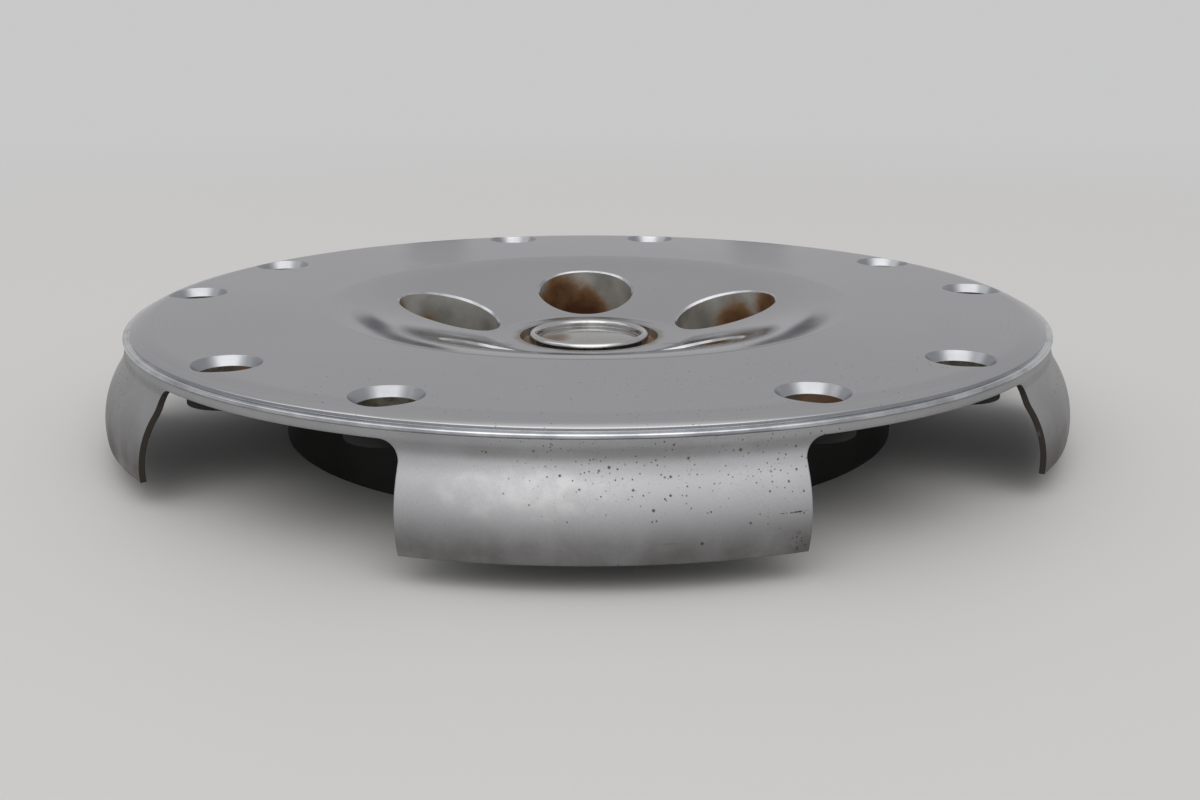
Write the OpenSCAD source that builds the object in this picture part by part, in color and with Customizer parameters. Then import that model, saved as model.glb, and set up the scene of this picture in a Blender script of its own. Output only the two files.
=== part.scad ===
/* [Face] */
// Radius of the cap at the bead of its lip
disc_r = 168; // [160:1:180]
// Height of the polished face above the mounting face
face_h = 45.4; // [42:0.2:56]
// Wall of the face and of the bowl
disc_t = 3.6; // [3.2:0.1:4.4]

/* [Lip] */
// Radius of the rolled edge of the face
roll_r = 14; // [10:0.5:18]
// Angle through which the edge rolls over
roll_turn = 33; // [26:1:38]
// Width of the ledge outside the rolled edge
ledge_w = 2.3; // [1.8:0.1:3]
// Step from the rolled edge down to the ledge
step_h = 0.9; // [0.4:0.1:1.4]
// Radius of the bead that runs along the ledge
bead_r = 0.8; // [0.5:0.1:1]
// Height of the plain band below the bead
band_h = 2.5; // [2:0.1:4]

/* [Skirts] */
// Number of skirts
skirt_count = 5; // [5:1:6]
// Width of a skirt between its parallel sides
skirt_w = 110; // [90:1:116]
// How far the sides of a skirt bow outwards
skirt_bow = 1; // [0.4:0.1:1.6]
// Distance from the face down to the edge of a skirt
skirt_drop = 37.1; // [33:0.1:40]
// Wall of a skirt
skirt_t = 1.8; // [1.4:0.1:2.6]
// Radius of the hollow below the lip
neck_r = 17; // [13:0.5:20]
// Radius of the bulge above the edge
bulge_r = 30; // [25:0.5:34]
// Steepest angle of the skirt away from upright
flare = 34.6; // [29:0.1:37]
// Radius in the upper corners of the windows
corner_r = 5.5; // [3:0.5:8]

/* [Rim holes] */
// Distance of the hole centres inside the bead
hole_inset = 16.9; // [15:0.1:22]
// Angle of each hole from the middle of its skirt
hole_angle = 23.4; // [21:0.1:26]
// Diameter of the bores
hole_d = 18.3; // [14:0.1:20]
// Width of the polished chamfer
hole_edge_w = 1.85; // [1:0.05:2.2]
// Depth of the polished chamfer
hole_edge_h = 3.1; // [1:0.1:3.2]
// Wall of the boss round each bore
boss_t = 3.4; // [2:0.1:4]
// Distance from the face down to the end of a boss
boss_drop = 11.6; // [8:0.1:16]

/* [Bowl] */
// Radius at which the face bends into the bowl
bowl_r = 98; // [88:1:102]
// Angle of the bowl just inside that bend
brow_angle = 3; // [2:0.5:8]
// Radius of the shoulder below the bend
shoulder_r = 116; // [80:1:130]
// Angle of the sloping side
bowl_angle = 15.6; // [12:0.1:18]
// Radius of the hollow at the foot of the slope
foot_r = 25; // [15:1:35]
// Radius of the level floor
floor_r = 33; // [31:0.5:36]

/* [Nut wells] */
// Number of wells
well_count = 5; // [4:1:6]
// Diameter of the circle through the well centres
well_circle = 114.3; // [108:0.1:120]
// Inside diameter of a well
well_d = 38.4; // [34:0.1:40]
// Wall of a well
well_t = 3; // [2:0.1:4]
// Width of the polished edge of a well
well_edge = 0.7; // [0.4:0.1:2]
// Thickness of the seat at the bottom of a well
seat_t = 11; // [10:0.5:14]
// Diameter of the hole for the stud
stud_d = 15; // [14:0.5:16]
// Widest diameter of the cone that the nut sits in
nut_d = 23; // [20:0.5:24]
// Width across the cone of the nut seat
nut_angle = 60; // [60:5:90]

/* [Mounting wall] */
// Outside radius of the wall that carries the cap
wall_r = 114; // [108:1:118]
// Thickness of that wall
wall_t = 4; // [3:0.5:6]
// Thickness of the ribs from the wells to the wall
rib_t = 4; // [3:0.5:6]
// Distance from the face down to the lower edge of the ribs
rib_drop = 32; // [20:1:40]

/* [Badge] */
// Diameter of the badge
badge_d = 45.5; // [44:0.5:50]
// Height of the badge above its seat
badge_h = 4; // [3.4:0.1:4.6]
// Width of the groove between the badge and its seat
badge_gap = 3.6; // [1:0.1:4.2]
// Depth of the seat below the floor of the bowl
badge_sink = 3.2; // [2:0.1:4]
// Width of the raised rim of the badge
badge_rim_w = 3.2; // [2:0.1:4]
// Depth of the field below the top of the rim
badge_field = 0.9; // [0.5:0.1:1.2]
// Rise of the field in the middle of the badge
badge_dome = 1; // [0.4:0.1:1.4]

/* [Hidden] */
// Smoothness of the round shapes
$fn = 96;
// Steps in an arc of a section
arc_steps = 8;
// How far a cutter runs past what it cuts
over = 1;
// Heights below the face are negative
roll_drop = roll_r * (1 - cos(roll_turn));
flat_r = disc_r - ledge_w - roll_r * sin(roll_turn);
ledge_z = -roll_drop - step_h;
bead_z = ledge_z - bead_r;
band_top = bead_z - bead_r;
band_z = band_top - band_h;
// The skirt starts a little inside the bead
skirt_r = disc_r - bead_r / 2;
neck_z = band_top - band_h / 2;
neck_x = skirt_r + neck_r;
bulge_x = neck_x - (neck_r + bulge_r) * cos(flare);
bulge_z = neck_z - (neck_r + bulge_r) * sin(flare);
tuck = asin((-bulge_z - skirt_drop) / bulge_r);
// The bowed side of a window, from its round corner to below the skirt
side_top = band_z - corner_r;
side_low = -skirt_drop - over;
bow_h = (side_top - side_low) / 2;
bow_r = (bow_h * bow_h + skirt_bow * skirt_bow) / 2 / skirt_bow;
bow_turn = asin(bow_h / bow_r);
// Farther out than any part of the skirts
reach = disc_r + neck_r;
// Inside of the band and the hollow corner above it
in_r = skirt_r - skirt_t;
in_corner = -disc_t - neck_z;
// The bowl: shoulder, slope, foot and floor
brow_x = bowl_r + shoulder_r * sin(brow_angle);
brow_z = -shoulder_r * cos(brow_angle);
slope_x = brow_x - shoulder_r * sin(bowl_angle);
slope_z = brow_z + shoulder_r * cos(bowl_angle);
foot_x = floor_r + foot_r * sin(bowl_angle);
foot_z = slope_z - (slope_x - foot_x) * tan(bowl_angle);
floor_z = foot_z - foot_r * (1 - cos(bowl_angle));
// The badge seat and the pad behind it
seat_r = badge_d / 2 + badge_gap;
seat_z = floor_z - badge_sink;
pad_r = seat_r + disc_t;
// The nut wells
well_r = well_circle / 2;
well_turn = 180 / well_count;
well_z = slope_z - (slope_x - well_r) * tan(bowl_angle);
nut_h = (nut_d - stud_d) / 2 / tan(nut_angle / 2);
// The rim holes
hole_r = disc_r - hole_inset;
boss_r = hole_d / 2 + boss_t;

function arc(x, z, r, from, to) =
    [for (i = [0:arc_steps])
        let (a = from + (to - from) * i / arc_steps)
        [x + r * cos(a), z + r * sin(a)]];

function turned(line) = [for (i = [len(line) - 1:-1:0]) line[i]];

// Foot, slope and shoulder of the bowl, at a depth below its surface
function bowl_line(depth) = concat(
    arc(floor_r, floor_z + foot_r, foot_r + depth, -90, bowl_angle - 90),
    arc(brow_x, brow_z, shoulder_r - depth, bowl_angle + 90, brow_angle + 90));

// Top of the face, from the middle of the badge seat out to the band
top_line = concat(
    [[0, seat_z], [seat_r, seat_z], [seat_r, floor_z]],
    bowl_line(0),
    arc(flat_r, -roll_r, roll_r, 90, 90 - roll_turn),
    [[disc_r - ledge_w, ledge_z]],
    arc(disc_r - bead_r, bead_z, bead_r, 90, -90),
    [[skirt_r, band_top]]);

// Outside of a skirt down to its edge, and back up its inside
skirt_line = concat(
    arc(neck_x, neck_z, neck_r, 180, 180 + flare),
    arc(bulge_x, bulge_z, bulge_r, flare, tuck),
    arc(bulge_x, bulge_z, bulge_r - skirt_t, tuck, flare),
    arc(neck_x, neck_z, neck_r + skirt_t, 180 + flare, 180));

// Underside, from the skirts back to the middle
under_line = concat(
    arc(in_r - in_corner, neck_z, in_corner, 0, 90),
    turned(bowl_line(disc_t)),
    [[pad_r, floor_z - disc_t], [pad_r, seat_z - disc_t], [0, seat_z - disc_t]]);

// Room to the right of a skirt, seen from its front, with a round upper corner and a bowed side
module beside_skirt() {
    side = arc(skirt_w / 2 + skirt_bow - bow_r, side_low + bow_h, bow_r, -bow_turn, bow_turn);
    polygon(concat(
        arc(skirt_w / 2 + corner_r, side_top, corner_r, 180, 90),
        [[reach, band_z], [reach, side_low]],
        [for (i = [0:arc_steps - 1]) side[i]]));
}

// A window is what lies right of one skirt and left of the next
module windows() {
    step = 360 / skirt_count;
    from = in_r * cos(step - asin(skirt_w / 2 / in_r)) - corner_r;
    for (i = [0:skirt_count - 1])
        rotate(i * step) intersection_for(side = [0, 1])
            rotate(side * step) mirror([side, 0, 0]) rotate([90, 0, 0])
                translate([0, 0, from]) linear_extrude(reach - from) beside_skirt();
}

// Revolves a section, with its seam in the middle of the front skirt, clear of every cut
module revolve(section) {
    rotate(-90) rotate_extrude() polygon(section);
}

module face_and_skirts() {
    difference() {
        revolve(concat(top_line, skirt_line, under_line));
        windows();
    }
}

// Places what follows at each rim hole
module at_holes() {
    for (i = [0:skirt_count - 1], side = [-1, 1])
        rotate(i * 360 / skirt_count + side * hole_angle)
            translate([0, -hole_r, 0]) children();
}

// Places what follows at each nut well, with +X pointing outwards
module at_wells() {
    for (i = [0:well_count - 1])
        rotate(i * 360 / well_count + well_turn - 90)
            translate([well_r, 0, 0]) children();
}

module bosses() {
    at_holes()
        translate([0, 0, -boss_drop]) cylinder(r = boss_r, h = boss_drop - disc_t / 2);
}

// Bore and polished chamfer of each rim hole
module rim_holes() {
    edge_r = hole_d / 2 + hole_edge_w;
    at_holes() rotate_extrude() polygon([
        [0, -boss_drop - over], [hole_d / 2, -boss_drop - over], [hole_d / 2, -hole_edge_h],
        [edge_r, 0], [edge_r, over], [0, over]]);
}

// Tubes of the nut wells and the ribs behind them, up to the middle of the bowl's wall
module wells_and_ribs() {
    outer = wall_r - wall_t / 2;
    intersection() {
        revolve(concat(
            [[0, -face_h - over], [outer, -face_h - over], [outer, -disc_t / 2]],
            turned(bowl_line(disc_t / 2)), [[0, floor_z - disc_t / 2]]));
        at_wells() {
            translate([0, 0, -face_h]) cylinder(d = well_d + 2 * well_t, h = face_h);
            translate([well_d / 2 + well_t / 2, -rib_t / 2, -rib_drop])
                cube([wall_r - well_r - well_d / 2, rib_t, rib_drop]);
        }
    }
}

// Bore, nut seat and stud hole of each well
module well_bores() {
    seat_top = seat_t - face_h;
    at_wells() rotate_extrude() polygon([
        [0, -face_h - over], [stud_d / 2, -face_h - over], [stud_d / 2, seat_top - nut_h],
        [nut_d / 2, seat_top], [well_d / 2, seat_top], [well_d / 2, over], [0, over]]);
}

// Polished edge of each well: a cone set inwards, so that it cuts the slope in an even edge
module well_edges() {
    edge_r = well_d / 2 + well_edge;
    at_wells() translate([-edge_r * tan(bowl_angle), 0, well_z - edge_r / 2])
        cylinder(r1 = edge_r / 2, r2 = edge_r * 1.5, h = edge_r);
}

module mounting_wall() {
    inner = wall_r - wall_t;
    revolve([[inner, -face_h], [wall_r, -face_h], [wall_r, -disc_t / 2], [inner, -disc_t / 2]]);
}

module cap_body() {
    color("silver") translate([0, 0, face_h]) difference() {
        union() {
            face_and_skirts();
            bosses();
            wells_and_ribs();
            mounting_wall();
        }
        rim_holes();
        well_bores();
        well_edges();
    }
}

module centre_badge() {
    rim_x = badge_d / 2;
    rim_z = badge_h - badge_rim_w / 4;
    field_r = rim_x - badge_rim_w;
    field_z = badge_h - badge_field;
    dome_r = (field_r * field_r + badge_dome * badge_dome) / 2 / badge_dome;
    dome_turn = asin(field_r / dome_r);
    color("gainsboro") translate([0, 0, face_h + seat_z]) rotate_extrude()
        polygon(concat(
            [[0, 0], [rim_x, 0], [rim_x, rim_z]],
            arc(rim_x - badge_rim_w / 2, rim_z, badge_rim_w / 2, 0, 180),
            arc(0, field_z - dome_r, dome_r, 90 - dome_turn, 90)));
}

cap_body();
centre_badge();
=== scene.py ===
from math import asin, atan2, cos, hypot, pi, radians, sin, sqrt, tan

import bmesh
import bpy
from mathutils import Matrix, Vector


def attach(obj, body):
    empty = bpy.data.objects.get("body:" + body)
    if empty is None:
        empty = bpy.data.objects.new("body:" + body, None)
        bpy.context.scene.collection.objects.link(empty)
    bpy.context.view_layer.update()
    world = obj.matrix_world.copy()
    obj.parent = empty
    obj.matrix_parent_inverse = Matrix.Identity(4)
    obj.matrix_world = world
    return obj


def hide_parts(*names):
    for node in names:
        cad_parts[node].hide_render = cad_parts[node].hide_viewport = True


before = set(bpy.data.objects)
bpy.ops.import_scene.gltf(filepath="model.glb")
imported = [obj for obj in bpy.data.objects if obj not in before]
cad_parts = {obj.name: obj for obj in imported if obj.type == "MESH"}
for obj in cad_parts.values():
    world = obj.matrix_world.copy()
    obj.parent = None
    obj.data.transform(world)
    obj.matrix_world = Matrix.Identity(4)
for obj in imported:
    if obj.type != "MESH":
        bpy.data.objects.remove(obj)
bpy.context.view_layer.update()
mm = 0.001
print("frame loaded:", ", ".join(sorted(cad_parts)))


# node helpers
def addNode(tree, kind, sockets=None, **settings):
    node = tree.nodes.new(kind)
    for name, value in settings.items():
        setattr(node, name, value)
    for name, value in (sockets or {}).items():
        if isinstance(value, bpy.types.NodeSocket):
            tree.links.new(value, node.inputs[name])
        else:
            node.inputs[name].default_value = value
    return node


def calc(tree, operation, first, second=0.0, third=0.0):
    node = addNode(tree, "ShaderNodeMath", {0: first, 1: second, 2: third}, operation=operation)
    return node.outputs[0]


def times(tree, first, second):
    return calc(tree, "MULTIPLY", first, second)


def strongest(tree, masks):
    result = masks[0]
    for mask in masks[1:]:
        result = calc(tree, "MAXIMUM", result, mask)
    return result


def vectorCalc(tree, operation, first, second=(0, 0, 0)):
    node = addNode(tree, "ShaderNodeVectorMath", {0: first, 1: second}, operation=operation)
    return node.outputs["Value" if operation in ("DISTANCE", "DOT_PRODUCT", "LENGTH") else "Vector"]


def axisOf(tree, where, axis):
    return addNode(tree, "ShaderNodeSeparateXYZ", {0: where}).outputs[axis]


def distanceFromAxis(tree, where):
    return vectorCalc(tree, "LENGTH", vectorCalc(tree, "MULTIPLY", where, (1, 1, 0)))


def blendRange(tree, value, low, high, start=0.0, end=1.0):
    sockets = {"Value": value, "From Min": low, "From Max": high, "To Min": start, "To Max": end}
    return addNode(tree, "ShaderNodeMapRange", sockets, interpolation_type="SMOOTHSTEP").outputs[0]


def fade(tree, distance, low, high, start=0.0, end=1.0):
    # blends over a stretch given in millimetres
    return blendRange(tree, distance, low * mm, high * mm, start, end)


def mixColour(tree, mask, first, second):
    node = addNode(tree, "ShaderNodeMix", {0: mask, 6: first, 7: second}, data_type="RGBA")
    return node.outputs[2]


def noise(tree, where, scale, detail=2.0, rough=0.5, seed=0.0):
    sockets = {"Vector": where, "W": seed, "Scale": scale, "Detail": detail, "Roughness": rough}
    return addNode(tree, "ShaderNodeTexNoise", sockets, noise_dimensions="4D").outputs["Fac"]


def ringNoise(tree, radius, scale, detail):
    # fine rings left by turning: noise along the radius only
    sockets = {"W": radius, "Scale": scale, "Detail": detail}
    return addNode(tree, "ShaderNodeTexNoise", sockets, noise_dimensions="1D").outputs["Fac"]


def dots(tree, where, scale, share, size, seed=0.0):
    # round dots of mixed sizes; the share says how many cells hold one, the size is a part of a cell
    place = vectorCalc(tree, "ADD", where, (seed, seed, seed))
    cell = addNode(tree, "ShaderNodeTexVoronoi", {"Vector": place, "Scale": scale})
    pick = addNode(tree, "ShaderNodeSeparateColor", {0: cell.outputs["Color"]}).outputs
    radius = calc(tree, "MULTIPLY_ADD", pick[1], size * 0.75, size * 0.25)
    inside = calc(tree, "LESS_THAN", cell.outputs["Distance"], radius)
    return times(tree, inside, calc(tree, "LESS_THAN", pick[0], share))


def spot(tree, where, centre, radius, soft):
    # 1 inside a ball round a place on the cap, fading out over its soft edge, in millimetres
    away = vectorCalc(tree, "DISTANCE", where, [v * mm for v in centre])
    return fade(tree, away, radius, radius + soft, 1.0, 0.0)


def spots(tree, where, marks):
    return strongest(tree, [spot(tree, where, *mark) for mark in marks])


def streak(tree, where, centre, length, width):
    # a level mark of this length and width in millimetres, fading at its edge
    offset = vectorCalc(tree, "SUBTRACT", where, [v * mm for v in centre])
    scaled = vectorCalc(tree, "MULTIPLY", offset, (1 / length / mm, 1 / length / mm, 1 / width / mm))
    return blendRange(tree, vectorCalc(tree, "LENGTH", scaled), 0.35, 0.5, 1.0, 0.0)


def ringLine(tree, radius, place, half):
    # 1 on a thin circle round the axis
    off = calc(tree, "ABSOLUTE", calc(tree, "SUBTRACT", radius, place * mm))
    return fade(tree, off, half * 0.5, half, 1.0, 0.0)


def newMaterial(name):
    material = bpy.data.materials.new(name)
    material.use_nodes = True
    tree = material.node_tree
    where = addNode(tree, "ShaderNodeTexCoord").outputs["Object"]
    return material, tree, tree.nodes["Principled BSDF"], where


def setShader(tree, shader, **sockets):
    # names are written in camelCase and matched to the shader's own sockets
    for name, value in sockets.items():
        words = "".join(" " + letter if letter.isupper() else letter for letter in name).title()
        socket = shader.inputs[words.replace("Ior", "IOR")]
        if isinstance(value, bpy.types.NodeSocket):
            tree.links.new(value, socket)
        else:
            socket.default_value = value


def setBump(tree, shader, height, distance, strength, rounding=None):
    # the distance and the rounding are in millimetres
    sockets = {"Height": height, "Distance": distance * mm, "Strength": strength}
    if rounding:  # softens the sharp edges of the mesh in the shading
        bevel = addNode(tree, "ShaderNodeBevel", {"Radius": rounding * mm}, samples=6)
        sockets["Normal"] = bevel.outputs[0]
    tree.links.new(addNode(tree, "ShaderNodeBump", sockets).outputs[0], shader.inputs["Normal"])


# materials: a mark is (place on the cap, radius, soft edge) and a streak is (place, length, width),
# radii and heights that come in twos are where a blend starts and ends, all in millimetres
faceFinish = {
    "light": (0.56, 0.56, 0.57, 1), "dark": (0.51, 0.51, 0.525, 1), "edge": (0.8, 0.8, 0.81, 1),
    "dirt": (0.095, 0.055, 0.032, 1), "creaseReflection": (0.17, 0.165, 0.165, 1), "brown": (0.17, 0.115, 0.075, 1),
    "roughness": (0.09, 0.13),
    "dirtyPlaces": (((34, -140, 45), 26, 60), ((75, -128, 45), 20, 40), ((-50, -138, 45), 10, 50)),
    "creaseRadius": 98.4, "creaseHalf": 0.9, "creaseFront": ((0, -98, 45), 40, 60),
    "stainRadii": (26.4, 32), "stainCorners": (((-32, -17, 31), 1, 6), ((32, -17, 31), 1, 6)),
}


def makePolishedFace(look):
    material, tree, shader, where = newMaterial("polishedFace")
    cloud = noise(tree, where, 9, 4, 0.55, 1.0)
    smudge = noise(tree, where, 60, 4, 0.6, 2.0)
    radius = distanceFromAxis(tree, where)
    rings = ringNoise(tree, radius, 1500.0, 2.0)
    tone = calc(tree, "MULTIPLY_ADD", rings, 0.3, times(tree, cloud, 0.7))
    metal = mixColour(tree, blendRange(tree, tone, 0.3, 0.7), look["dark"], look["light"])
    # fine dirt specks, thickest at the front right of the face
    near = spots(tree, where, look["dirtyPlaces"])
    patchy = blendRange(tree, noise(tree, where, 75, 4, 0.65, 5.0), 0.42, 0.68)
    speck = strongest(tree, [
        dots(tree, where, 1150, times(tree, times(tree, near, patchy), 0.4), 0.28, 4.0),
        dots(tree, where, 700, times(tree, near, 0.06), 0.26, 6.0),
        dots(tree, where, 420, 0.02, 0.13, 8.0)])
    # a faint painted reflection: a dark line at the brink of the bowl, on the front only
    line = ringLine(tree, radius, look["creaseRadius"], look["creaseHalf"])
    creaseReflection = times(tree, line, times(tree, spot(tree, where, *look["creaseFront"]), 0.5))
    colour = mixColour(tree, creaseReflection, metal, look["creaseReflection"])
    # brown dirt gathered round the badge
    close = fade(tree, radius, *look["stainRadii"], 0.62, 0.0)
    gathered = calc(tree, "MULTIPLY_ADD", noise(tree, where, 150, 4, 0.6, 3.0), 0.6, close)
    gathered = blendRange(tree, gathered, 0.5, 1.1, 0.0, 0.8)
    broken = blendRange(tree, noise(tree, where, 230, 4, 0.65, 9.0), 0.4, 0.6, 0.0, 0.6)
    corners = times(tree, spots(tree, where, look["stainCorners"]), broken)
    colour = mixColour(tree, calc(tree, "MAXIMUM", gathered, corners), colour, look["brown"])
    colour = mixColour(tree, times(tree, speck, 0.85), colour, look["dirt"])
    rough = blendRange(tree, smudge, 0.3, 0.7, *look["roughness"])
    rough = calc(tree, "MAXIMUM", rough, times(tree, speck, 0.6))
    setShader(tree, shader, baseColor=colour, roughness=rough, specularTint=look["edge"],
              metallic=calc(tree, "SUBTRACT", 1.0, times(tree, speck, 0.8)))
    relief = calc(tree, "MULTIPLY_ADD", speck, 0.5, times(tree, rings, 0.05))
    setBump(tree, shader, relief, distance=0.05, strength=0.5, rounding=0.3)
    return material


brightFinish = {
    "light": (0.66, 0.67, 0.69, 1), "dark": (0.31, 0.32, 0.345, 1), "hole": (0.34, 0.35, 0.37, 1),
    "roughness": (0.12, 0.22), "holeRoughness": 0.14, "holeRadii": (90, 120), "lipRadii": (161, 163),
}


def makeBrightEdge(look):
    material, tree, shader, where = newMaterial("brightEdge")
    # the wear runs round the lip in fine lines, and is cloudy round the holes and wells
    radius = distanceFromAxis(tree, where)
    rings = calc(tree, "SUBTRACT", ringNoise(tree, radius, 2200.0, 3.0), 0.5)
    rings = calc(tree, "MULTIPLY_ADD", rings, fade(tree, radius, *look["lipRadii"]), 0.5)
    worn = calc(tree, "MULTIPLY_ADD", rings, 0.6, times(tree, noise(tree, where, 70, 4, 0.6, 7.0), 0.4))
    # the edges of the rim holes are darker and duller than the rest
    hole = fade(tree, radius, *look["lipRadii"], 1.0, 0.0)
    hole = times(tree, hole, fade(tree, radius, *look["holeRadii"]))
    light = mixColour(tree, times(tree, hole, 0.75), look["light"], look["hole"])
    colour = mixColour(tree, blendRange(tree, worn, 0.42, 0.62), light, look["dark"])
    rough = blendRange(tree, worn, 0.35, 0.7, *look["roughness"])
    rough = calc(tree, "MULTIPLY_ADD", hole, look["holeRoughness"], rough)
    setShader(tree, shader, baseColor=colour, roughness=rough, metallic=1.0)
    setBump(tree, shader, rings, distance=0.015, strength=0.3, rounding=0.25)
    return material


paintFinish = {
    "light": (0.44, 0.44, 0.456, 1), "dark": (0.385, 0.385, 0.4, 1), "paleSheen": (0.61, 0.61, 0.615, 1),
    "grimeAndShade": (0.10, 0.095, 0.09, 1), "rust": (0.085, 0.042, 0.022, 1), "chip": (0.03, 0.026, 0.022, 1),
    "roughness": (0.47, 0.53),
    "neckHeights": (33.5, 36.5), "bandHeights": (37.5, 39.5), "lowHeights": (10, 25),
    "sideReach": (90, 150), "sideHeights": (8, 34), "pitHeights": (15, 31),
    "pittedPlaces": (((22, -167, 34), 14, 34), ((40, -164, 34), 12, 22), ((-10, -168, 37), 4, 26),
                     ((-150, -60, 34), 6, 26), ((158, -60, 34), 6, 24), ((104, 138, 32), 10, 30)),
    "paleStreak": ((-21, -170, 26.5), 56, 15), "faintStreak": ((17, -175, 14.2), 5.0, 0.4),
    "scratchStreak": ((50.8, -167.4, 19.9), 10.0, 0.42),
    "nick": ((25.5, -174, 13.8), 0.25, 0.4), "chips": ((52.3, -168, 11.7), 1.6, 2),
}


def paintGrimeAndShade(tree, where, look):
    # grime and painted shade below the band and along the lower edge; the skirts at the sides are darkened
    # higher up, also as painted shade
    height = axisOf(tree, where, "Z")
    under = fade(tree, height, *look["neckHeights"], 0.0, 0.5)
    under = times(tree, under, fade(tree, height, *look["bandHeights"], 1.0, 0.4))
    bottom = fade(tree, height, *look["lowHeights"], 0.85, 0.0)
    aside = fade(tree, calc(tree, "ABSOLUTE", axisOf(tree, where, "X")), *look["sideReach"])
    higher = times(tree, aside, fade(tree, height, *look["sideHeights"], 1.0, 0.35))
    uneven = blendRange(tree, noise(tree, where, 65, 4, 0.6, 18.0), 0.25, 0.65, 0.7, 1.0)
    return times(tree, strongest(tree, [under, bottom, higher]), uneven)


def paintPits(tree, where, look):
    # rust pits and the stain round each, thickest on the right of the front skirt
    height = fade(tree, axisOf(tree, where, "Z"), *look["pitHeights"], 0.06, 1.0)
    near = times(tree, spots(tree, where, look["pittedPlaces"]), height)
    few, many = times(tree, near, 0.6), times(tree, near, 0.65)
    pits = []
    for large, small in ((0.15, 0.2), (0.24, 0.3)):
        big = dots(tree, where, 415, few, large, 14.0)
        pits.append(calc(tree, "MAXIMUM", big, dots(tree, where, 900, many, small, 16.0)))
    return pits


def paintScars(tree, where, look):
    # a nick, two scratches and a few chips low on the right of the front skirt
    faint = times(tree, streak(tree, where, *look["faintStreak"]), 0.3)
    broken = blendRange(tree, noise(tree, where, 900, 2, 0.6, 17.0), 0.46, 0.54)
    scratch = times(tree, streak(tree, where, *look["scratchStreak"]), broken)
    crumbled = blendRange(tree, noise(tree, where, 800, 2, 0.6, 19.0), 0.52, 0.58)
    chips = times(tree, spot(tree, where, *look["chips"]), crumbled)
    return strongest(tree, [spot(tree, where, *look["nick"]), faint, scratch, chips])


def makeSatinPaint(look):
    material, tree, shader, where = newMaterial("satinPaint")
    cloud = noise(tree, where, 28, 3, 0.5, 11.0)
    flakes = noise(tree, where, 1900, 2, 0.6, 12.0)
    tone = calc(tree, "MULTIPLY_ADD", flakes, 0.4, times(tree, cloud, 0.6))
    colour = mixColour(tree, blendRange(tree, tone, 0.35, 0.65), look["light"], look["dark"])
    # faint painted highlight: pale patches left of the middle of the front skirt
    patchy = blendRange(tree, noise(tree, where, 210, 2, 0.45, 13.0), 0.4, 0.7)
    pale = times(tree, streak(tree, where, *look["paleStreak"]), patchy)
    colour = mixColour(tree, times(tree, pale, 0.3), colour, look["paleSheen"])
    # darker below the band, along the lower edge and up the side skirts: painted shade, with some grime
    dustAndShade = paintGrimeAndShade(tree, where, look)
    colour = mixColour(tree, dustAndShade, colour, look["grimeAndShade"])
    pit, stain = paintPits(tree, where, look)
    colour = mixColour(tree, times(tree, stain, 0.3), colour, look["rust"])
    colour = mixColour(tree, pit, colour, look["rust"])
    scar = paintScars(tree, where, look)
    colour = mixColour(tree, scar, colour, look["chip"])
    bare = calc(tree, "MAXIMUM", pit, scar)
    rough = strongest(tree, [blendRange(tree, tone, 0.35, 0.65, *look["roughness"]),
                             times(tree, bare, 0.75), times(tree, dustAndShade, 0.7)])
    setShader(tree, shader, baseColor=colour, roughness=rough, coatWeight=0.1, coatRoughness=0.25,
              metallic=times(tree, calc(tree, "SUBTRACT", 1.0, bare), 0.9))
    relief = calc(tree, "MULTIPLY_ADD", flakes, 0.12, times(tree, bare, -1.0))
    setBump(tree, shader, relief, distance=0.1, strength=0.5, rounding=0.5)
    return material


wellFinish = {
    "paint": (0.45, 0.445, 0.42, 1), "shade": (0.22, 0.215, 0.195, 1),
    "rust": (0.16, 0.082, 0.033, 1), "deep": (0.055, 0.018, 0.006, 1), "lowHeights": (13, 24),
    "stains": (((-12, 73, 29), 6, 15), ((-2, 76, 22), 8, 12), ((-74, 19, 35), 2, 9), ((-66, 33, 27), 1, 8),
               ((73, 22, 35), 5, 12), ((62, 35, 26), 4, 12), ((-22, -32, 32), 4, 9), ((44, -34, 30), 4, 9)),
    "darkest": ((-3, 76, 17), 4, 11),
}


def makeWellWall(look):
    material, tree, shader, where = newMaterial("wellWall")
    cloud = noise(tree, where, 55, 3, 0.5, 21.0)
    blots = noise(tree, where, 130, 5, 0.65, 22.0)
    low = fade(tree, axisOf(tree, where, "Z"), *look["lowHeights"], 1.0, 0.0)
    stained = calc(tree, "MAXIMUM", spots(tree, where, look["stains"]), times(tree, low, 0.7))
    rust = blendRange(tree, calc(tree, "MULTIPLY_ADD", blots, 1.1, stained), 0.55, 1.5)
    deep = calc(tree, "MULTIPLY_ADD", spot(tree, where, *look["darkest"]), 0.75, stained)
    deep = calc(tree, "MULTIPLY_ADD", noise(tree, where, 200, 4, 0.65, 23.0), 0.9, deep)
    colour = mixColour(tree, blendRange(tree, cloud, 0.3, 0.7), look["paint"], look["shade"])
    colour = mixColour(tree, rust, colour, look["rust"])
    colour = mixColour(tree, blendRange(tree, deep, 1.05, 1.85), colour, look["deep"])
    setShader(tree, shader, baseColor=colour, roughness=blendRange(tree, rust, 0, 1, 0.4, 0.85),
              metallic=blendRange(tree, rust, 0, 0.7, 0.35, 0.0), specularIorLevel=0.3)
    setBump(tree, shader, blots, distance=0.25, strength=0.5, rounding=0.25)
    return material


boreFinish = {
    "light": (0.12, 0.105, 0.08, 1), "dark": (0.05, 0.042, 0.033, 1), "rust": (0.12, 0.07, 0.035, 1),
    "stains": (((-105, -94, 40), 5, 8), ((66, -131, 38), 5, 8), ((128, -79, 38), 5, 8)),
}


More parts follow.
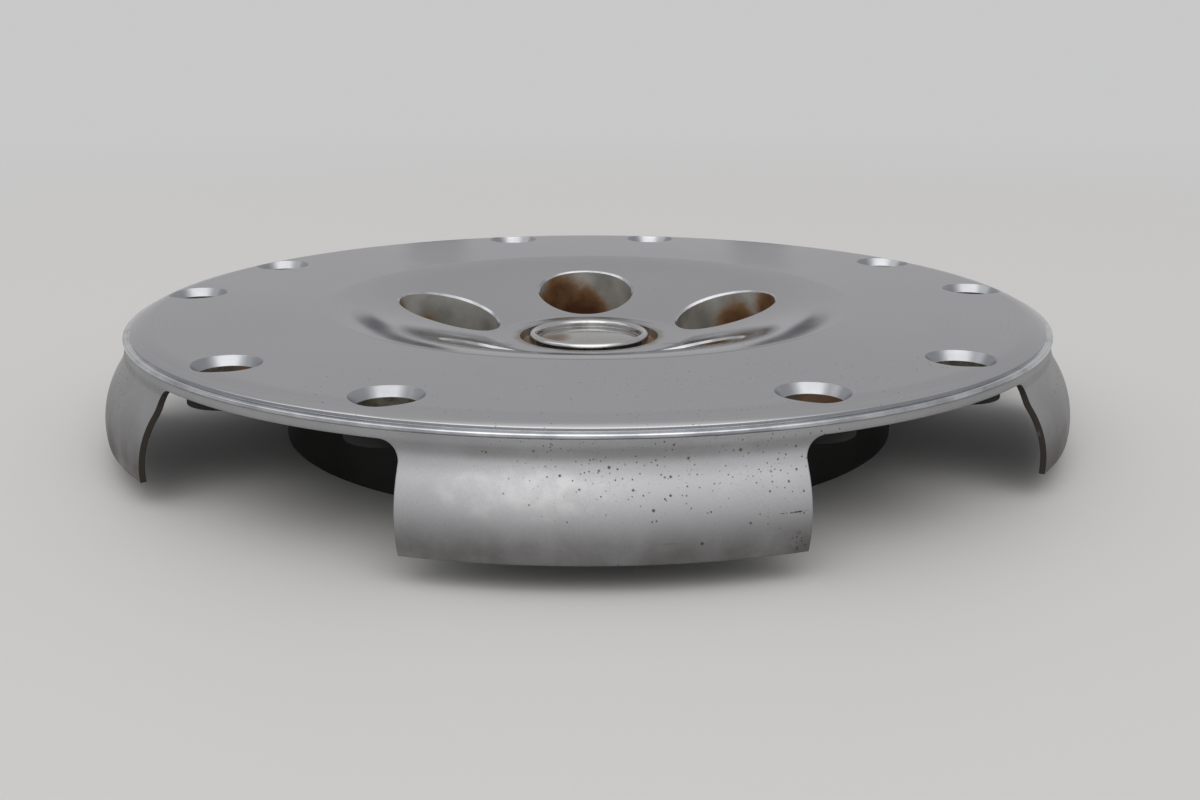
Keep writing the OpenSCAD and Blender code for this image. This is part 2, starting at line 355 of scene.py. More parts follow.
def makeBoreWall(look):
    material, tree, shader, where = newMaterial("boreWall")
    blots = noise(tree, where, 260, 4, 0.65, 31.0)
    colour = mixColour(tree, blendRange(tree, blots, 0.4, 0.65), look["dark"], look["light"])
    rusty = noise(tree, where, 200, 3, 0.6, 32.0)
    rusty = calc(tree, "MULTIPLY_ADD", rusty, 0.5, spots(tree, where, look["stains"]))
    colour = mixColour(tree, blendRange(tree, rusty, 0.6, 1.2), colour, look["rust"])
    setShader(tree, shader, baseColor=colour, roughness=0.6, metallic=0.15)
    setBump(tree, shader, blots, distance=0.25, strength=0.7, rounding=0.3)
    return material


edgeFinish = {"dirt": (0.02, 0.014, 0.01, 1), "metal": (0.1, 0.092, 0.085, 1)}


def makeArmEdge(look):
    material, tree, shader, where = newMaterial("armEdge")
    worn = noise(tree, where, 210, 5, 0.7, 41.0)
    bare = blendRange(tree, worn, 0.58, 0.74)
    setShader(tree, shader, baseColor=mixColour(tree, bare, look["dirt"], look["metal"]),
              metallic=times(tree, bare, 0.7), roughness=blendRange(tree, bare, 0, 1, 0.8, 0.45))
    setBump(tree, shader, worn, distance=0.2, strength=0.6, rounding=0.35)
    return material


rearFinish = {
    "light": (0.022, 0.021, 0.02, 1), "dark": (0.01, 0.0095, 0.009, 1), "dust": (0.045, 0.034, 0.025, 1),
}


# the whole back is coloured near-black as painted shade for the hollow under the cap, with dust patches on it
def makeRearShade(look):
    material, tree, shader, where = newMaterial("rearCastingShade")
    cloud = noise(tree, where, 40, 5, 0.65, 51.0)
    dustAndShade = blendRange(tree, noise(tree, where, 18, 6, 0.7, 53.0), 0.58, 0.76)
    colour = mixColour(tree, blendRange(tree, cloud, 0.35, 0.65), look["dark"], look["light"])
    colour = mixColour(tree, dustAndShade, colour, look["dust"])
    setShader(tree, shader, baseColor=colour, roughness=blendRange(tree, cloud, 0.3, 0.7, 0.55, 0.8),
              metallic=0.1, specularIorLevel=0.25)
    setBump(tree, shader, noise(tree, where, 900, 2, 0.5, 52.0), distance=0.15, strength=0.6, rounding=0.4)
    return material


seatFinish = {"metal": (0.36, 0.355, 0.35, 1), "rubbed": (0.14, 0.13, 0.12, 1)}


def makeRubbedSeat(look):
    material, tree, shader, where = newMaterial("rubbedSeat")
    worn = noise(tree, where, 85, 5, 0.7, 61.0)
    colour = mixColour(tree, blendRange(tree, worn, 0.4, 0.6), look["metal"], look["rubbed"])
    setShader(tree, shader, baseColor=colour, metallic=0.8,
              roughness=blendRange(tree, worn, 0.3, 0.7, 0.32, 0.55))
    setBump(tree, shader, worn, distance=0.08, strength=0.5, rounding=0.3)
    return material


grooveFinish = {
    "metal": (0.42, 0.40, 0.37, 1), "dirt": (0.19, 0.12, 0.07, 1),
    "stains": (((-25, 2, 30), 4, 9), ((25, 2, 30), 4, 9)),
}


def makeBadgeGroove(look):
    material, tree, shader, where = newMaterial("badgeGroove")
    blots = noise(tree, where, 170, 4, 0.65, 71.0)
    dirt = calc(tree, "MULTIPLY_ADD", blots, 0.6, spots(tree, where, look["stains"]))
    dirt = blendRange(tree, dirt, 0.42, 1.1)
    setShader(tree, shader, baseColor=mixColour(tree, dirt, look["metal"], look["dirt"]),
              metallic=calc(tree, "SUBTRACT", 1.0, dirt), roughness=blendRange(tree, dirt, 0, 1, 0.26, 0.8))
    setBump(tree, shader, blots, distance=0.15, strength=0.5, rounding=0.3)
    return material


badgeFinish = {
    "light": (0.52, 0.52, 0.525, 1), "dark": (0.3, 0.295, 0.29, 1), "roughness": (0.07, 0.17),
    "field": (0.36, 0.35, 0.33, 1), "dirt": (0.09, 0.052, 0.028, 1), "fieldRadius": 19.55,
    "stain": ((-15, -3, 31), 4, 12),
}


def makeBadgeChrome(look):
    material, tree, shader, where = newMaterial("badgeChrome")
    haze = noise(tree, where, 120, 5, 0.65, 81.0)
    radius = distanceFromAxis(tree, where)
    chrome = mixColour(tree, blendRange(tree, haze, 0.5, 0.75), look["light"], look["dark"])
    field = fade(tree, radius, look["fieldRadius"] - 0.6, look["fieldRadius"], 1.0, 0.0)
    colour = mixColour(tree, times(tree, field, 0.75), chrome, look["field"])
    # brown dirt in the corner inside the rim, spreading in on the left
    corner = times(tree, ringLine(tree, radius, look["fieldRadius"] - 0.3, 1.8), 0.8)
    left = times(tree, spot(tree, where, *look["stain"]), 0.7)
    dirty = calc(tree, "MULTIPLY_ADD", haze, 0.5, calc(tree, "MAXIMUM", corner, left))
    dirty = times(tree, blendRange(tree, dirty, 0.5, 1.1), field)
    rough = blendRange(tree, haze, 0.3, 0.75, *look["roughness"])
    rough = calc(tree, "MAXIMUM", rough, times(tree, dirty, 0.7))
    setShader(tree, shader, baseColor=mixColour(tree, dirty, colour, look["dirt"]), roughness=rough,
              metallic=calc(tree, "SUBTRACT", 1.0, dirty))
    setBump(tree, shader, haze, distance=0.02, strength=0.3, rounding=0.2)
    return material


finishes = {
    "face": makePolishedFace(faceFinish), "bright": makeBrightEdge(brightFinish),
    "paint": makeSatinPaint(paintFinish), "well": makeWellWall(wellFinish),
    "bore": makeBoreWall(boreFinish), "armEdge": makeArmEdge(edgeFinish),
    "rear": makeRearShade(rearFinish), "seat": makeRubbedSeat(seatFinish),
    "groove": makeBadgeGroove(grooveFinish), "badge": makeBadgeChrome(badgeFinish),
}
print("materials made:", len(finishes))

# the cap, in millimetres and degrees; its outlines have the face at height 0 and are raised afterwards
cap = {
    "faceHeight": 45.4, "radius": 168.0, "wall": 3.6,
    "rollRadius": 14.0, "rollTurn": 33.0, "ledge": 2.3, "step": 0.9, "bead": 0.8, "band": 2.5,
    "arms": 5, "armWidth": 110.0, "armBow": 1.0, "armDrop": 37.1, "armWall": 1.8,
    "neck": 17.0, "bulge": 30.0, "flare": 34.6, "corner": 5.5, "windowGap": 4.0,
    "bowl": 98.0, "brow": 3.0, "shoulder": 116.0, "slope": 15.6, "foot": 25.0, "floor": 33.0,
    "holeInset": 16.9, "holeAngle": 23.4, "hole": 18.3, "holeEdge": 1.85, "holeEdgeDepth": 3.1,
    "bossWall": 3.4, "bossDrop": 11.6,
    "wellCircle": 114.3, "well": 38.4, "wellWall": 3.0, "wellEdge": 0.7,
    "seat": 11.0, "stud": 15.0, "nut": 23.0, "nutAngle": 60.0,
    "ring": 114.0, "ringWall": 4.0, "rib": 4.0, "ribDrop": 32.0,
    "badge": 45.5, "badgeGap": 3.6, "badgeSink": 3.2,
    "segments": 300, "edgeRound": 0.25, "over": 1.0,
}


def arc(x, z, radius, start, end, steps):
    turns = [radians(start + (end - start) * i / steps) for i in range(steps + 1)]
    return [(x + radius * cos(t), z + radius * sin(t)) for t in turns]


def bowlSlope(s):
    # centre of the shoulder arc, the height of the floor and of the slope at the wells
    brow, slope = radians(s["brow"]), radians(s["slope"])
    browX, browZ = s["bowl"] + s["shoulder"] * sin(brow), -s["shoulder"] * cos(brow)
    slopeX, slopeZ = browX - s["shoulder"] * sin(slope), browZ + s["shoulder"] * cos(slope)
    footX = s["floor"] + s["foot"] * sin(slope)
    floorZ = slopeZ - (slopeX - footX) * tan(slope) - s["foot"] * (1 - cos(slope))
    wellZ = slopeZ - (slopeX - s["wellCircle"] / 2) * tan(slope)
    return browX, browZ, floorZ, wellZ


def bowlLine(s, depth, steps=10):
    browX, browZ, floorZ, _ = bowlSlope(s)
    return (arc(s["floor"], floorZ + s["foot"], s["foot"] + depth, -90, s["slope"] - 90, steps)
            + arc(browX, browZ, s["shoulder"] - depth, s["slope"] + 90, s["brow"] + 90, steps))


def tidyLine(points, rounding, longest=3.0):
    # rounds the sharp corners and puts a support point near each end of a long stretch
    sharp, steps, least, support = radians(25), 3, 1e-4, 0.5
    line = [points[0]]
    for before, here in zip(points, points[1:]):
        if hypot(here[0] - before[0], here[1] - before[1]) > least:
            line.append(here)
    rounded = [line[0]]
    for before, here, after in zip(line, line[1:], line[2:]):
        into = (here[0] - before[0], here[1] - before[1])
        out = (after[0] - here[0], after[1] - here[1])
        turn = abs(atan2(into[0] * out[1] - into[1] * out[0], into[0] * out[0] + into[1] * out[1]))
        if turn < sharp:
            rounded.append(here)
            continue
        reach = min(rounding, 0.4 * hypot(*into), 0.4 * hypot(*out))
        start = [h - reach * d / hypot(*into) for h, d in zip(here, into)]
        end = [h + reach * d / hypot(*out) for h, d in zip(here, out)]
        for i in range(steps + 1):
            t = i / steps
            near, bend, far = (1 - t) ** 2, 2 * t * (1 - t), t * t
            rounded.append(tuple(near * a + bend * h + far * b for a, h, b in zip(start, here, end)))
    rounded.append(line[-1])
    supported = [rounded[0]]
    for here, after in zip(rounded, rounded[1:]):
        length = hypot(after[0] - here[0], after[1] - here[1])
        if length > longest:
            for t in (support / length, 1 - support / length):
                supported.append(tuple(a + (b - a) * t for a, b in zip(here, after)))
        supported.append(after)
    return supported


def capOutline(s):
    # the turned section in stretches with their finishes, from the badge seat round to the middle of the back
    _, _, floorZ, _ = bowlSlope(s)
    roll = radians(s["rollTurn"])
    flatEnd = s["radius"] - s["ledge"] - s["rollRadius"] * sin(roll)
    ledgeZ = -s["rollRadius"] * (1 - cos(roll)) - s["step"]
    bandTop = ledgeZ - 2 * s["bead"]
    skirt = s["radius"] - s["bead"] / 2
    neckZ = bandTop - s["band"] / 2
    flare = radians(s["flare"])
    bulgeX = skirt + s["neck"] - (s["neck"] + s["bulge"]) * cos(flare)
    bulgeZ = neckZ - (s["neck"] + s["bulge"]) * sin(flare)
    tuck = asin((-bulgeZ - s["armDrop"]) / s["bulge"]) * 180 / pi
    inside = skirt - s["armWall"]
    hollow = -s["wall"] - neckZ
    seatR = s["badge"] / 2 + s["badgeGap"]
    seatZ = floorZ - s["badgeSink"]
    ringIn = s["ring"] - s["ringWall"]
    groove = [(0, seatZ), (seatR, seatZ), (seatR, floorZ - 0.3)]
    face = [(seatR, floorZ)] + bowlLine(s, 0, 14)
    face += arc(flatEnd, -s["rollRadius"], s["rollRadius"], 90, 90 - s["rollTurn"], 14)
    lip = [(s["radius"] - s["ledge"], ledgeZ)]
    lip += arc(s["radius"] - s["bead"], ledgeZ - s["bead"], s["bead"], 90, -90, 12)
    skirtOut = [(skirt, bandTop)] + arc(skirt + s["neck"], neckZ, s["neck"], 180, 180 + s["flare"], 12)
    skirtOut += arc(bulgeX, bulgeZ, s["bulge"], s["flare"], tuck, 26)
    back = arc(bulgeX, bulgeZ, s["bulge"] - s["armWall"], tuck, s["flare"], 16)
    back += arc(skirt + s["neck"], neckZ, s["neck"] + s["armWall"], 180 + s["flare"], 180, 8)
    back += arc(inside - hollow, neckZ, hollow, 0, 90, 6)
    back += [(s["ring"], -s["wall"]), (s["ring"], -s["faceHeight"])]
    back += [(ringIn, -s["faceHeight"]), (ringIn, -s["wall"])]
    back += bowlLine(s, s["wall"], 8)[::-1]
    behind = seatR + s["wall"]
    back += [(behind, floorZ - s["wall"]), (behind, seatZ - s["wall"]), (0, seatZ - s["wall"])]
    return [("groove", groove), ("face", face), ("bright", lip), ("paint", skirtOut), ("rear", back)]


def distanceToStretch(p, a, b):
    along = (b[0] - a[0], b[1] - a[1])
    size = along[0] ** 2 + along[1] ** 2
    reach = (p[0] - a[0]) * along[0] + (p[1] - a[1]) * along[1]
    t = 0 if size == 0 else max(0, min(1, reach / size))
    return hypot(p[0] - a[0] - t * along[0], p[1] - a[1] - t * along[1])


def turnedSolid(name, stretches, segments, rounding=0.0, raised=0.0):
    # turns a section about Z into a closed mesh; each stretch keeps its own finish
    marks = [(point, finish) for finish, stretch in stretches for point in stretch]
    points = [point for point, _ in marks]
    line = tidyLine(points, rounding) if rounding else points
    order = list(dict.fromkeys(finish for finish, _ in stretches))
    mesh = bpy.data.meshes.new(name)
    for finish in order:
        mesh.materials.append(finishes[finish])
    grid = bmesh.new()
    rings = []
    for x, z in line:
        turns = [2 * pi * i / segments for i in range(segments)] if x > 1e-6 else [0]
        rings.append([grid.verts.new((x * mm * cos(t), x * mm * sin(t), (z + raised) * mm)) for t in turns])
    for k, (lower, upper) in enumerate(zip(rings, rings[1:])):
        if len(lower) == 1 and len(upper) == 1:
            continue
        middle = tuple((a + b) / 2 for a, b in zip(line[k], line[k + 1]))
        away = [distanceToStretch(middle, start[0], end[0]) for start, end in zip(marks, marks[1:])]
        slot = order.index(marks[away.index(min(away)) + 1][1])
        for i in range(segments):
            j = (i + 1) % segments
            if len(lower) == 1:
                corners = (lower[0], upper[j], upper[i])
            elif len(upper) == 1:
                corners = (lower[i], lower[j], upper[0])
            else:
                corners = (lower[i], lower[j], upper[j], upper[i])
            grid.faces.new(corners).material_index = slot
    bmesh.ops.recalc_face_normals(grid, faces=grid.faces)
    if grid.calc_volume(signed=True) < 0:
        bmesh.ops.reverse_faces(grid, faces=grid.faces)
    grid.to_mesh(mesh)
    grid.free()
    mesh.shade_smooth()
    return newObject(name, mesh)


def loftedSolid(name, finish, rings):
    # a closed solid through stacked rings of corners, in millimetres
    mesh = bpy.data.meshes.new(name)
    mesh.materials.append(finishes[finish])
    grid = bmesh.new()
    loops = [[grid.verts.new([v * mm for v in corner]) for corner in ring] for ring in rings]
    count = len(loops[0])
    for lower, upper in zip(loops, loops[1:]):
        for i in range(count):
            j = (i + 1) % count
            grid.faces.new((lower[i], lower[j], upper[j], upper[i]))
    grid.faces.new(loops[0][::-1])
    grid.faces.new(loops[-1])
    bmesh.ops.recalc_face_normals(grid, faces=grid.faces)
    grid.to_mesh(mesh)
    grid.free()
    return newObject(name, mesh)


def newObject(name, mesh):
    piece = bpy.data.objects.new(name, mesh)
    bpy.context.scene.collection.objects.link(piece)
    return piece


def windowCutter(s):
    # what lies between two skirts: a wedge with bowed sides and round corners below the band
    half = pi / s["arms"]
    roll = radians(s["rollTurn"])
    top = -s["rollRadius"] * (1 - cos(roll)) - s["step"] - 2 * s["bead"] - s["band"]
    low, high = -s["armDrop"] - s["over"], top - s["corner"]
    reach = (high - low) / 2
    bowRadius = (reach ** 2 + s["armBow"] ** 2) / 2 / s["armBow"]
    sideSteps, cornerSteps = 16, 8
    levels = []
    for i in range(sideSteps):
        z = low + (high - low) * i / sideSteps
        levels.append((z, s["armBow"] - bowRadius + sqrt(bowRadius ** 2 - (z - low - reach) ** 2)))
    for i in range(cornerSteps + 1):
        turn = radians(90 * i / cornerSteps)
        levels.append((high + s["corner"] * sin(turn), s["corner"] * (1 - cos(turn))))
    near, far = s["ring"] + s["windowGap"], s["radius"] + s["neck"]
    rings = []
    for z, inset in levels:
        inner, outer = [(x * sin(half) - s["armWidth"] / 2 - inset) / cos(half) for x in (near, far)]
        corners = ((near, -inner), (far, -outer), (far, outer), (near, inner))
        rings.append([(x, y, z + s["faceHeight"]) for x, y in corners])
    return loftedSolid("windowCutter", "armEdge", rings)


def makeCapPieces(s):
    # the turned blank, what is joined to it and what is cut from it
    _, _, floorZ, wellZ = bowlSlope(s)
    up, over, wall = s["faceHeight"], s["over"], s["wall"]
    bore, edge = s["hole"] / 2, s["hole"] / 2 + s["holeEdge"]
    boss, bossZ = bore + s["bossWall"], -s["bossDrop"]
    well, stud, nut = s["well"] / 2, s["stud"] / 2, s["nut"] / 2
    wellX, tube, wellTop = s["wellCircle"] / 2, well + s["wellWall"], well + s["wellEdge"]
    seat = s["seat"] - up
    nutZ = seat - (nut - stud) / tan(radians(s["nutAngle"] / 2))
    ribStart, ribEnd = well + s["wellWall"] / 2, s["ring"] - wellX + s["wellWall"] / 2
    ribSides = ((ribStart, -1), (ribEnd, -1), (ribEnd, 1), (ribStart, 1))
    ribCorners = [(x, side * s["rib"] / 2) for x, side in ribSides]
    ringMiddle = s["ring"] - s["ringWall"] / 2
    room = [(0, -up - over), (ringMiddle, -up - over), (ringMiddle, -wall / 2)]
    room += bowlLine(s, wall / 2)[::-1] + [(0, floorZ - wall / 2)]
    pieces = {
        "Blank": turnedSolid("capBlank", capOutline(s), s["segments"], s["edgeRound"], up),
        "Window": windowCutter(s),
        "Hole": turnedSolid("holeCutter", [
            ("bore", [(0, bossZ - over), (bore, bossZ - over), (bore, -s["holeEdgeDepth"])]),
            ("bright", [(edge, 0), (edge, over), (0, over)])], 72, 0, up),
        "Well": turnedSolid("wellCutter", [
            ("rear", [(0, -up - over), (stud, -up - over), (stud, nutZ)]),
            ("seat", [(nut, seat)]), ("well", [(well, seat), (well, over), (0, over)])], 96, 0, up),
        "Well edge": turnedSolid("wellEdgeCutter", [
            ("bright", [(0, wellZ - wellTop / 2), (wellTop / 2, wellZ - wellTop / 2),
                        (wellTop * 1.5, wellZ + wellTop / 2), (0, wellZ + wellTop / 2)])], 120, 0, up),
        "Boss": turnedSolid("boss", [
            ("rear", [(0, bossZ), (boss, bossZ), (boss, -wall / 2), (0, -wall / 2)])], 64, 0, up),
        "Tube": turnedSolid("tube", [("rear", [(0, -up), (tube, -up), (tube, 0), (0, 0)])], 96, 0, up),
        "Rib": loftedSolid("rib", "rear", [
            [(x, y, z) for x, y in ribCorners] for z in (up - s["ribDrop"], up)]),
        "Room under bowl": turnedSolid("underBowl", [("rear", room)], 180, 0, up),
    }
    places = {
        "Arms": s["arms"], "Hole circle": (s["radius"] - s["holeInset"]) * mm,
        "Hole angle": radians(s["holeAngle"]), "Well circle": wellX * mm,
        "Well edge shift": -wellTop * tan(radians(s["slope"])) * mm,
    }
    return pieces, places


def newSocket(tree, name, kind, output=False):
    side = "OUTPUT" if output else "INPUT"
    tree.interface.new_socket(name, in_out=side, socket_type="NodeSocket" + kind)


def makeRingTree():
    # repeats a piece round the Z axis, at a distance out and from a start angle
    tree = bpy.data.node_groups.new("ringOfPieces", "GeometryNodeTree")
    for name, kind in (("Piece", "Geometry"), ("Count", "Int"), ("Distance", "Float"), ("Start", "Float")):
        newSocket(tree, name, kind)
    newSocket(tree, "Ring", "Geometry", True)
    given = addNode(tree, "NodeGroupInput").outputs
    turn = calc(tree, "DIVIDE", 2 * pi, given["Count"])
    index = addNode(tree, "GeometryNodeInputIndex").outputs[0]
    angle = calc(tree, "MULTIPLY_ADD", index, turn, given["Start"])
    offset = addNode(tree, "ShaderNodeCombineXYZ", {"X": given["Distance"]}).outputs[0]
    sockets = {"Geometry": given["Piece"], "Translation": offset}
    piece = addNode(tree, "GeometryNodeTransform", sockets).outputs[0]
    spin = addNode(tree, "ShaderNodeCombineXYZ", {"Z": angle}).outputs[0]
    spin = addNode(tree, "FunctionNodeEulerToRotation", {0: spin}).outputs[0]
    points = addNode(tree, "GeometryNodePoints", {"Count": given["Count"]}).outputs[0]
    sockets = {"Points": points, "Instance": piece, "Rotation": spin}
    copies = addNode(tree, "GeometryNodeInstanceOnPoints", sockets).outputs[0]
    solid = addNode(tree, "GeometryNodeRealizeInstances", {0: copies}).outputs[0]
    addNode(tree, "NodeGroupOutput", {"Ring": solid})
    return tree


def makeCapTree(ringTree, pieceNames, placeNames):
    tree = bpy.data.node_groups.new("cutCap", "GeometryNodeTree")
    newSocket(tree, "Geometry", "Geometry")
    for name in pieceNames:
        newSocket(tree, name, "Object")
    for name in placeNames:
        newSocket(tree, name, "Int" if name == "Arms" else "Float")
    newSocket(tree, "Seat material", "Material")
    newSocket(tree, "Geometry", "Geometry", True)
    given = addNode(tree, "NodeGroupInput").outputs

    def shape(name):
        return addNode(tree, "GeometryNodeObjectInfo", {"Object": given[name]}).outputs["Geometry"]

    def ring(name, distance, start):
        sockets = {"Piece": shape(name), "Count": given["Arms"], "Distance": distance, "Start": start}
        return addNode(tree, "GeometryNodeGroup", sockets, node_tree=ringTree).outputs[0]

    def combine(operation, first, others):
        node = addNode(tree, "GeometryNodeMeshBoolean", operation=operation, solver="MANIFOLD")
        tree.links.new(first, node.inputs[0 if operation == "DIFFERENCE" else 1])
        for other in others:
            tree.links.new(other, node.inputs[1])
        return node.outputs[0]

    front = -pi / 2
    # wells and windows stand half a step round from the skirts
    between = calc(tree, "ADD", calc(tree, "DIVIDE", pi, given["Arms"]), front)
    left = calc(tree, "SUBTRACT", front, given["Hole angle"])
    right = calc(tree, "ADD", front, given["Hole angle"])
    tubes = ring("Tube", given["Well circle"], between)
    ribs = ring("Rib", given["Well circle"], between)
    below = combine("INTERSECT", combine("UNION", tubes, [ribs]), [shape("Room under bowl")])
    bosses = [ring("Boss", given["Hole circle"], side) for side in (left, right)]
    # the windows are cut first, so that they leave the bosses whole
    whole = combine("DIFFERENCE", given["Geometry"], [ring("Window", 0.0, between)])
    whole = combine("UNION", whole, [below] + bosses)
    cuts = [ring("Hole", given["Hole circle"], side) for side in (left, right)]
    cuts.append(ring("Well", given["Well circle"], between))
    edgeCircle = calc(tree, "ADD", given["Well circle"], given["Well edge shift"])
    cuts.append(ring("Well edge", edgeCircle, between))
    whole = combine("DIFFERENCE", whole, cuts)
    # the faces that stand on the wheel are rubbed bare
    height = axisOf(tree, addNode(tree, "GeometryNodeInputPosition").outputs[0], "Z")
    sockets = {"A": height, "B": 0.05 * mm}
    resting = addNode(tree, "FunctionNodeCompare", sockets, operation="LESS_THAN").outputs[0]
    whole = addNode(tree, "GeometryNodeRealizeInstances", {0: whole}).outputs[0]
    sockets = {"Geometry": whole, "Selection": resting, "Material": given["Seat material"]}
    whole = addNode(tree, "GeometryNodeSetMaterial", sockets).outputs[0]
    addNode(tree, "NodeGroupOutput", {"Geometry": whole})
    return tree


def makeCap(s):
    pieces, places = makeCapPieces(s)
    blank = pieces.pop("Blank")
    tree = makeCapTree(makeRingTree(), pieces, places)
    modifier = blank.modifiers.new("cutCap", "NODES")
    modifier.node_group = tree
    values = {**pieces, **places, "Seat material": finishes["seat"]}
    for item in tree.interface.items_tree:
        if item.in_out == "INPUT" and item.name in values:
            modifier[item.identifier] = values[item.name]
    seen = bpy.context.evaluated_depsgraph_get()
    dressed = blank.evaluated_get(seen)
    mesh = bpy.data.meshes.new_from_object(dressed, preserve_all_data_layers=True, depsgraph=seen)
    blank.modifiers.clear()
    for piece in [blank, *pieces.values()]:
        bpy.data.objects.remove(piece)
    weld = 0.002 * mm
    grid = bmesh.new()
    grid.from_mesh(mesh)
    bmesh.ops.remove_doubles(grid, verts=grid.verts, dist=weld)
    bmesh.ops.dissolve_degenerate(grid, edges=grid.edges, dist=weld)
    openEdges = sum(1 for edge in grid.edges if not edge.is_manifold)
    volume = round(grid.calc_volume(signed=True) / mm ** 3)
    print("cap mesh:", len(grid.faces), "faces, open edges", openEdges, "volume", volume)
    grid.to_mesh(mesh)
    grid.free()
    mesh.shade_smooth()
    mesh.set_sharp_from_angle(angle=radians(24))
    return newObject("capShell", mesh)


capShell = makeCap(cap)
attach(capShell, "root")
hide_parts("cap_body")

# the badge: a plain domed disc with a raised rim
badge = {
    "width": cap["badge"], "height": 4.0, "rim": 3.2, "field": 0.9, "dome": 1.0,
    "segments": 180, "edgeRound": 0.25,
}


def makeBadge(s, seatHeight):
    rimX, rimZ = s["width"] / 2, s["height"] - s["rim"] / 4
    fieldR, fieldZ = rimX - s["rim"], s["height"] - s["field"]
    domeR = (fieldR ** 2 + s["dome"] ** 2) / 2 / s["dome"]
    turn = asin(fieldR / domeR) * 180 / pi
    line = [(0, 0), (rimX, 0), (rimX, rimZ)] + arc(rimX - s["rim"] / 2, rimZ, s["rim"] / 2, 0, 180, 20)
    line += arc(0, fieldZ - domeR, domeR, 90 - turn, 90, 16)
    piece = turnedSolid("badgeDisc", [("badge", line)], s["segments"], s["edgeRound"], seatHeight)
    piece.data.set_sharp_from_angle(angle=radians(30))
    return piece


badgeDisc = makeBadge(badge, cap["faceHeight"] + bowlSlope(cap)[2] - cap["badgeSink"])
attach(badgeDisc, "root")
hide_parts("centre_badge")
print("badge made")

# floor and world: floor sizes are in metres, and the world's numbers are parts of a unit direction
studio = {
    "floor": (0.60, 0.595, 0.59, 1), "floorSize": 60.0, "litRadius": 0.5, "fadeRadius": 1.5,
    "horizon": (0.58, 0.58, 0.585, 1), "middle": (0.52, 0.52, 0.525, 1),
    "bright": (1.3, 1.29, 1.27, 1), "brightWay": (0, -0.5, 0.866), "brightSpread": (0.55, 0.92),
    "screen": (0.15, 0.15, 0.16, 1), "screenPlaces": (-0.088, 0.15), "screenHalf": (0.012, 0.028),
    "screenLow": (0.03, 0.07), "screenHigh": (0.11, 0.17),
}


def makeFloor(look):
    mesh = bpy.data.meshes.new("floor")
    half = look["floorSize"] / 2
    corners = [(-half, -half, 0), (half, -half, 0), (half, half, 0), (-half, half, 0)]
    mesh.from_pydata(corners, [], [(0, 1, 2, 3)])
    material, tree, shader, where = newMaterial("paleFloor")
    setShader(tree, shader, baseColor=look["floor"], roughness=0.6)
    setBump(tree, shader, noise(tree, where, 700, 3, 0.5, 91.0), distance=0.02, strength=0.3)
    # far from the cap the floor takes the colour of the horizon, so no line shows
    far = blendRange(tree, vectorCalc(tree, "LENGTH", where), look["litRadius"], look["fadeRadius"])
    glow = addNode(tree, "ShaderNodeEmission", {"Color": look["horizon"]}).outputs[0]
    blend = addNode(tree, "ShaderNodeMixShader", {0: far, 1: shader.outputs[0], 2: glow}).outputs[0]
    tree.links.new(blend, tree.nodes["Material Output"].inputs["Surface"])
    mesh.materials.append(material)
    floor = newObject("floor", mesh)


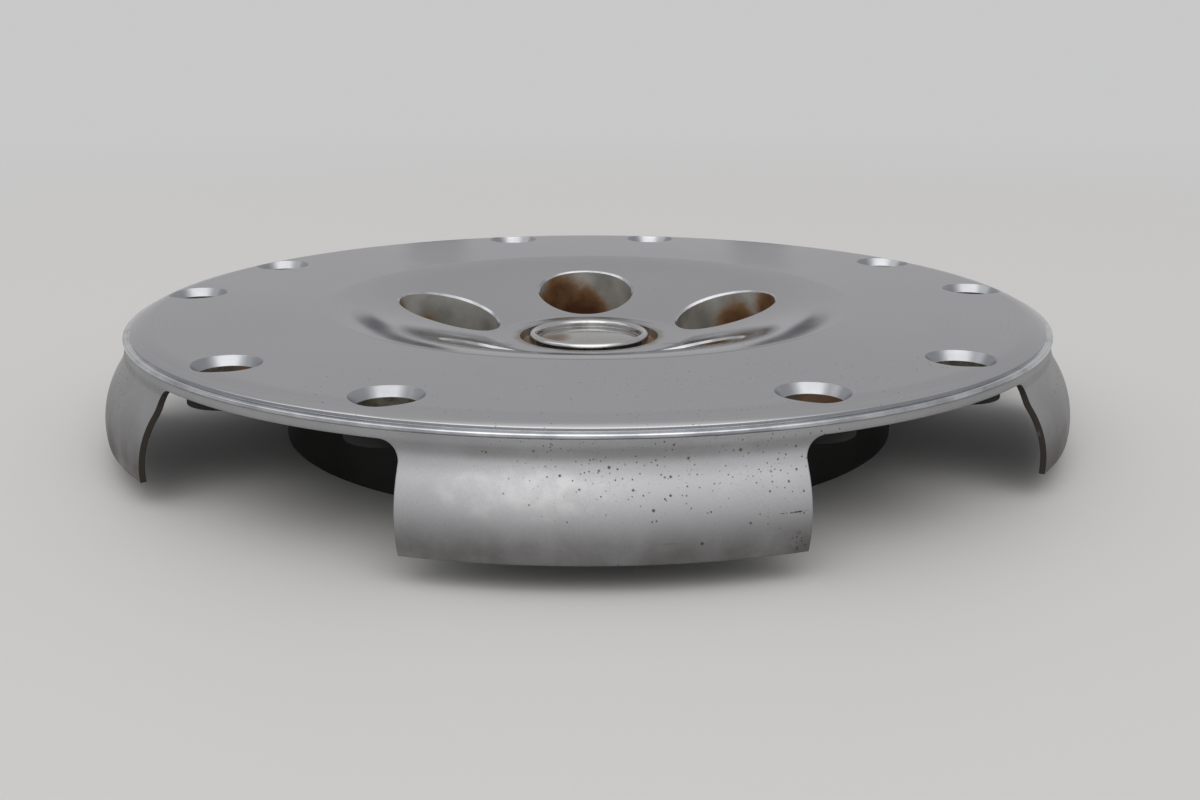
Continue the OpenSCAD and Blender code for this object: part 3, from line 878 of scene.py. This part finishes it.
def makeWorld(look):
    world = bpy.data.worlds.new("studioWorld")
    bpy.context.scene.world = world
    world.use_nodes = True
    tree = world.node_tree
    where = addNode(tree, "ShaderNodeTexCoord").outputs["Generated"]
    across, along, height = addNode(tree, "ShaderNodeSeparateXYZ", {0: where}).outputs
    # even light all round, and a large soft bright area high up over the front
    colour = mixColour(tree, blendRange(tree, height, 0.0, 0.5), look["horizon"], look["middle"])
    toward = vectorCalc(tree, "DOT_PRODUCT", where, look["brightWay"])
    colour = mixColour(tree, blendRange(tree, toward, *look["brightSpread"]), colour, look["bright"])
    # two narrow grey screens stand behind the cap and draw soft dark curves in the polished bowl
    screens = []
    for place in look["screenPlaces"]:
        side = calc(tree, "ABSOLUTE", calc(tree, "MULTIPLY_ADD", along, -place, across))
        screens.append(blendRange(tree, side, *look["screenHalf"], 1.0, 0.0))
    screen = times(tree, strongest(tree, screens), calc(tree, "GREATER_THAN", along, 0.0))
    screen = times(tree, screen, blendRange(tree, height, *look["screenLow"]))
    screen = times(tree, screen, blendRange(tree, height, *look["screenHigh"], 1.0, 0.0))
    colour = mixColour(tree, screen, colour, look["screen"])
    tree.links.new(colour, tree.nodes["Background"].inputs["Color"])


# (place, point it faces, size, watts, colour)
lamps = {
    "frontSoftbox": ((0.0, -1.6, 2.2), (0, 0, 0), (3.2, 1.8), 14.0, (1.0, 0.99, 0.97)),
    "leftSoftbox": ((-1.9, 0.2, 2.0), (0, 0, 0), (1.4, 1.6), 4.0, (1.0, 1.0, 1.0)),
}


def makeLamps(table):
    for name, (place, target, size, watts, colour) in table.items():
        light = bpy.data.lights.new(name, "AREA")
        light.shape = "RECTANGLE"
        light.size, light.size_y = size
        light.energy = watts
        light.color = colour
        lamp = bpy.data.objects.new(name, light)
        lamp.location = place
        lamp.rotation_euler = (Vector(target) - Vector(place)).to_track_quat("-Z", "Y").to_euler()
        bpy.context.scene.collection.objects.link(lamp)


# the camera as it stood for the photograph: the focal length and the width in pixels, the offset in
# cap radii, angles in radians and the cap's own turn in degrees
shot = {
    "focal": 1361.65, "imageWidth": 1200, "sensor": 36.0, "offset": (0.00018, -3.0245, 0.5946),
    "pitch": 0.268946, "yaw": 0.00826, "roll": 0.0007, "capTurn": 1.38,
}


def makeCamera(s, radius, height):
    lens = bpy.data.cameras.new("camera")
    lens.sensor_width = s["sensor"]
    lens.lens = s["focal"] / s["imageWidth"] * lens.sensor_width
    camera = bpy.data.objects.new("camera", lens)
    level = cos(s["pitch"])
    ahead = Vector((sin(s["yaw"]) * level, cos(s["yaw"]) * level, -sin(s["pitch"])))
    turn = Matrix.Rotation(radians(-s["capTurn"]), 4, "Z")
    aim = turn @ ahead.to_track_quat("-Z", "Y").to_matrix().to_4x4() @ Matrix.Rotation(s["roll"], 4, "Z")
    place = turn @ (Vector(s["offset"]) * radius * mm) + Vector((0, 0, height * mm))
    camera.matrix_world = Matrix.Translation(place) @ aim
    bpy.context.scene.collection.objects.link(camera)
    bpy.context.scene.camera = camera


makeFloor(studio)
makeWorld(studio)
makeLamps(lamps)
makeCamera(shot, cap["radius"], cap["faceHeight"])
bpy.context.scene.view_settings.view_transform = "Standard"
print("studio made")
